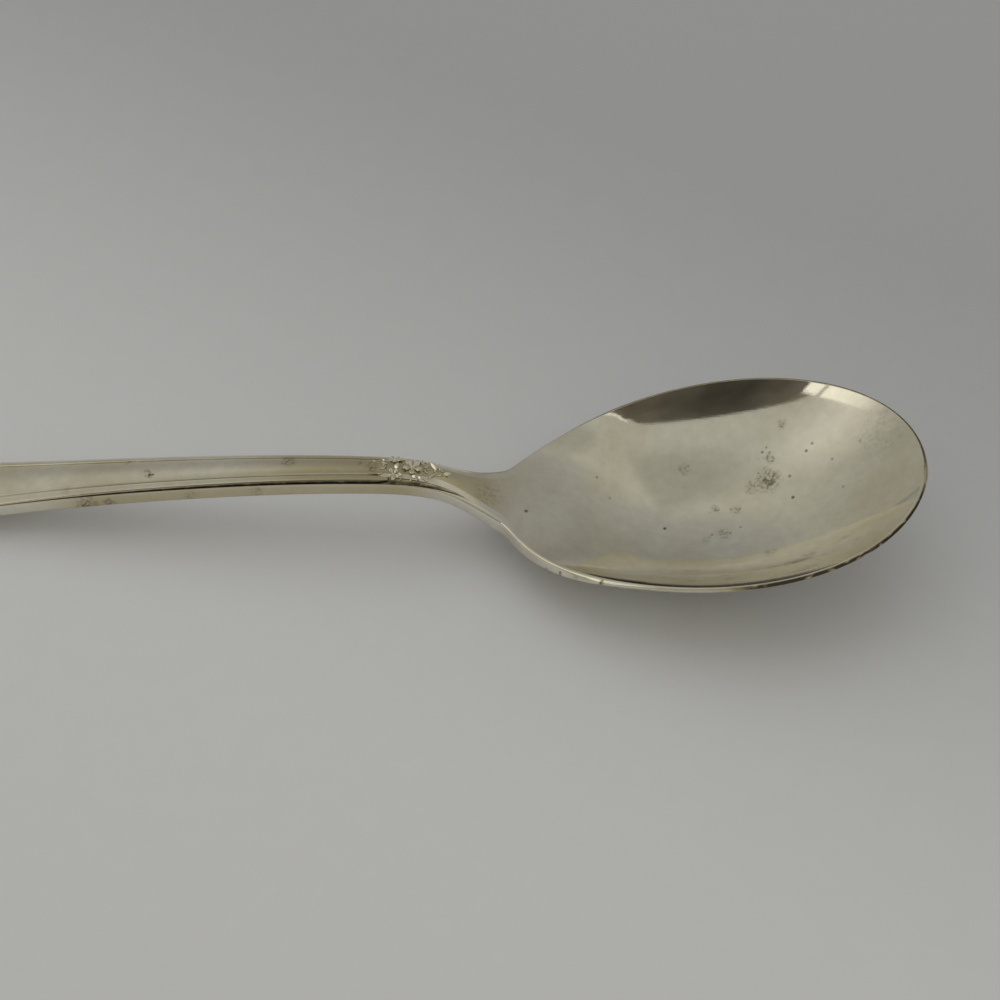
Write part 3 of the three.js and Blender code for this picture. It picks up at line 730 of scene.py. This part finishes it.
# Pale floor, with painted shade that darkens it towards the back and right
floorLook = {
    "colour": "#F3F4FA", "shade": "#C5C6CB", "shadeWay": (0.5, 0.87, 0), "shadeSpan": (-0.035, 0.105),
    "speckSize": 4, "speckle": 0.08, "roughness": 0.7, "shine": 0.2, "size": 3.0, "drop": 0.03,
}  # sizes in mm, the floor's own and its painted shade in metres
selectOnly()
bpy.ops.mesh.primitive_plane_add(size=floorLook["size"], location=(0, 0, -floorLook["drop"] * mm))
floor = bpy.context.object
floor.name = "pale_floor"
floorMaterial = bpy.data.materials.new("matt_pale_board")  # matt, barely mottled, with painted shade towards the back right
tree, coords = startTree(floorMaterial, "Object")
speck = clouds(tree, coords, 1 / (floorLook["speckSize"] * mm), 4).outputs[0]
# painted shade: the colour darkens along shadeWay, towards the back right
shade = remap(tree, alongWay(tree, coords, floorLook["shadeWay"]), floorLook["shadeSpan"], soft=True)
shade = calc(tree, "MULTIPLY_ADD", speck, floorLook["speckle"], shade)
tint = mixTint(tree, shade, floorLook["colour"], floorLook["shade"])
settings = {"Roughness": floorLook["roughness"], "Specular IOR Level": floorLook["shine"]}
setSurface(tree, addNode(tree, "ShaderNodeBsdfPrincipled", settings, {"Base Color": tint}))
floor.data.materials.append(floorMaterial)

# Cards round the camera, which the bowl mirrors: a dark one, and the panes of a window beside it
# Degrees: the way a card faces, round from +Y by way of +X; its ends from there; up to its edges. Metres away
roomCards = {
    "dark_card": {"facing": 193, "left": -36, "right": 41, "low": 36, "high": 51.2, "away": 0.28},
    "window_pane_near": {"facing": 227, "left": 0.8, "right": 9.2, "low": 20, "high": 43.2, "away": 0.28},
    "window_pane_far": {"facing": 227, "left": 11.5, "right": 52, "low": 20, "high": 43.4, "away": 0.28},
    "shoulder_pane": {"facing": 156, "left": 1.3, "right": 2.5, "low": 43, "high": 48.6, "away": 0.28},
}
bowlMiddle = Vector((50, 5, 8)) * mm


def standCard(name):  # a card that only the metal can see
    look = roomCards[name]
    selectOnly()
    bpy.ops.mesh.primitive_grid_add(x_subdivisions=8, y_subdivisions=4, size=2)
    card = bpy.context.object
    card.name = name
    left, right, low, high = [math.tan(math.radians(look[key])) for key in ("left", "right", "low", "high")]
    way = math.radians(look["facing"])
    ahead, beside = Vector((math.sin(way), math.cos(way), 0)), Vector((math.cos(way), -math.sin(way), 0))
    for vertex in card.data.vertices:
        across, rise = lerp(left, right, (vertex.co.x + 1) / 2), lerp(low, high, (vertex.co.y + 1) / 2)
        vertex.co = bowlMiddle + look["away"] * (ahead + beside * across + Vector((0, 0, rise)))
    card.visible_camera = False
    card.visible_shadow = False
    card.visible_diffuse = False
    return card


cardLook = {
    "dark": "#57524A", "pale": "#A39C8E", "darkest": (-0.03, -0.27, 0.27), "paleSpan": (0.03, 0.3),
    "blotSize": 60, "blot": 0.7, "blotSpan": (0.3, 1.2), "roughness": 0.9, "shine": 0.1,
}
cardMaterial = bpy.data.materials.new("dark_felt_card")  # a dull brown patch, darkest in its middle
tree, coords = startTree(cardMaterial, "Object")
blot = clouds(tree, coords, 1 / (cardLook["blotSize"] * mm), 3).outputs[0]
aside = calc(tree, "DISTANCE", coords, cardLook["darkest"], kind="VectorMath", output="Value")
pale = calc(tree, "MULTIPLY_ADD", blot, cardLook["blot"], remap(tree, aside, cardLook["paleSpan"]))
pale = remap(tree, pale, cardLook["blotSpan"])
tint = mixTint(tree, pale, cardLook["dark"], cardLook["pale"])
settings = {"Roughness": cardLook["roughness"], "Specular IOR Level": cardLook["shine"]}
setSurface(tree, addNode(tree, "ShaderNodeBsdfPrincipled", settings, {"Base Color": tint}))
standCard("dark_card").data.materials.append(cardMaterial)

paneLook = {
    "glass": "#F4F1E4", "end": "#A3A096", "strength": 1.12, "fadeWay": (-0.682, 0.731, 0), "fadeSpan": (0.08, 0.3),
    "streakSize": 40, "streak": 0.5, "streakSpan": (0.25, 1.15),
}
paneMaterial = bpy.data.materials.new("bright_window_glass")  # even daylight that fades to the far end
tree, coords = startTree(paneMaterial, "Object")
fade = remap(tree, alongWay(tree, coords, paneLook["fadeWay"]), paneLook["fadeSpan"])
streak = clouds(tree, coords, 1 / (paneLook["streakSize"] * mm), 3).outputs[0]
fade = remap(tree, calc(tree, "MULTIPLY_ADD", streak, paneLook["streak"], fade), paneLook["streakSpan"])
tint = mixTint(tree, fade, paneLook["glass"], paneLook["end"])
setSurface(tree, addNode(tree, "ShaderNodeEmission", {"Strength": paneLook["strength"]}, {"Color": tint}))
for name in ("window_pane_near", "window_pane_far", "shoulder_pane"):
    standCard(name).data.materials.append(paneMaterial)

# Soft light: a large lamp above and behind for the floor's shadow, and a pale warm room
lampLook = {"place": (0.02, 0.2, 0.48), "size": 0.64, "watts": 0.435, "colour": "#F4F8FF"}
bpy.ops.object.light_add(type="AREA", location=lampLook["place"])
lamp = bpy.context.object
lamp.name = "floorLamp"
lamp.data.shape = "SQUARE"
lamp.data.size = lampLook["size"]
lamp.data.energy = lampLook["watts"]
lamp.data.color = toLinear(lampLook["colour"])[:3]
lamp.rotation_mode = "QUATERNION"
lamp.rotation_quaternion = (-Vector(lampLook["place"])).to_track_quat("-Z", "Y")
lamp.visible_glossy = False  # the metal mirrors the room and the cards only

roomLook = {
    "horizon": "#9F9D93", "overhead": "#B0AEA3", "heights": (0.3, 0.85),
    "window": "#7C7A74", "windowWay": (-0.784, -0.082, 0.616), "windowSpan": (0.85, 1.0), "windowPower": 3,
    "patches": [  # way to a patch, blend, colour, and the cosines where it starts and is full
        ((0.6, 0.4, 0.69), "ADD", "#2E2F32", (0.72, 1.0)),
        ((0.12, 0.82, 0.56), "MULTIPLY", "#DFE0E8", (0.78, 0.98)),
        ((0, 0, 1), "MULTIPLY", "#E6E6E6", (0.85, 0.97))],
}
world = bpy.data.worlds.new("pale_room")
scene.world = world
tree, coords = startTree(world, "Generated")
height = addNode(tree, "ShaderNodeSeparateXYZ", {}, {0: coords}).outputs["Z"]
sky = mixTint(tree, remap(tree, height, roomLook["heights"], soft=True), roomLook["horizon"], roomLook["overhead"])
glow = remap(tree, alongWay(tree, coords, roomLook["windowWay"]), roomLook["windowSpan"])
glow = calc(tree, "POWER", glow, roomLook["windowPower"])
sky = mixTint(tree, glow, sky, roomLook["window"], "ADD")
for way, blend, colour, span in roomLook["patches"]:
    patch = remap(tree, alongWay(tree, coords, way), span, soft=True)
    sky = mixTint(tree, patch, sky, colour, blend)
background = addNode(tree, "ShaderNodeBackground", {"Strength": 1.0}, {"Color": sky})
addNode(tree, "ShaderNodeOutputWorld", {}, {"Surface": background.outputs[0]})
print("floor, cards and light set")
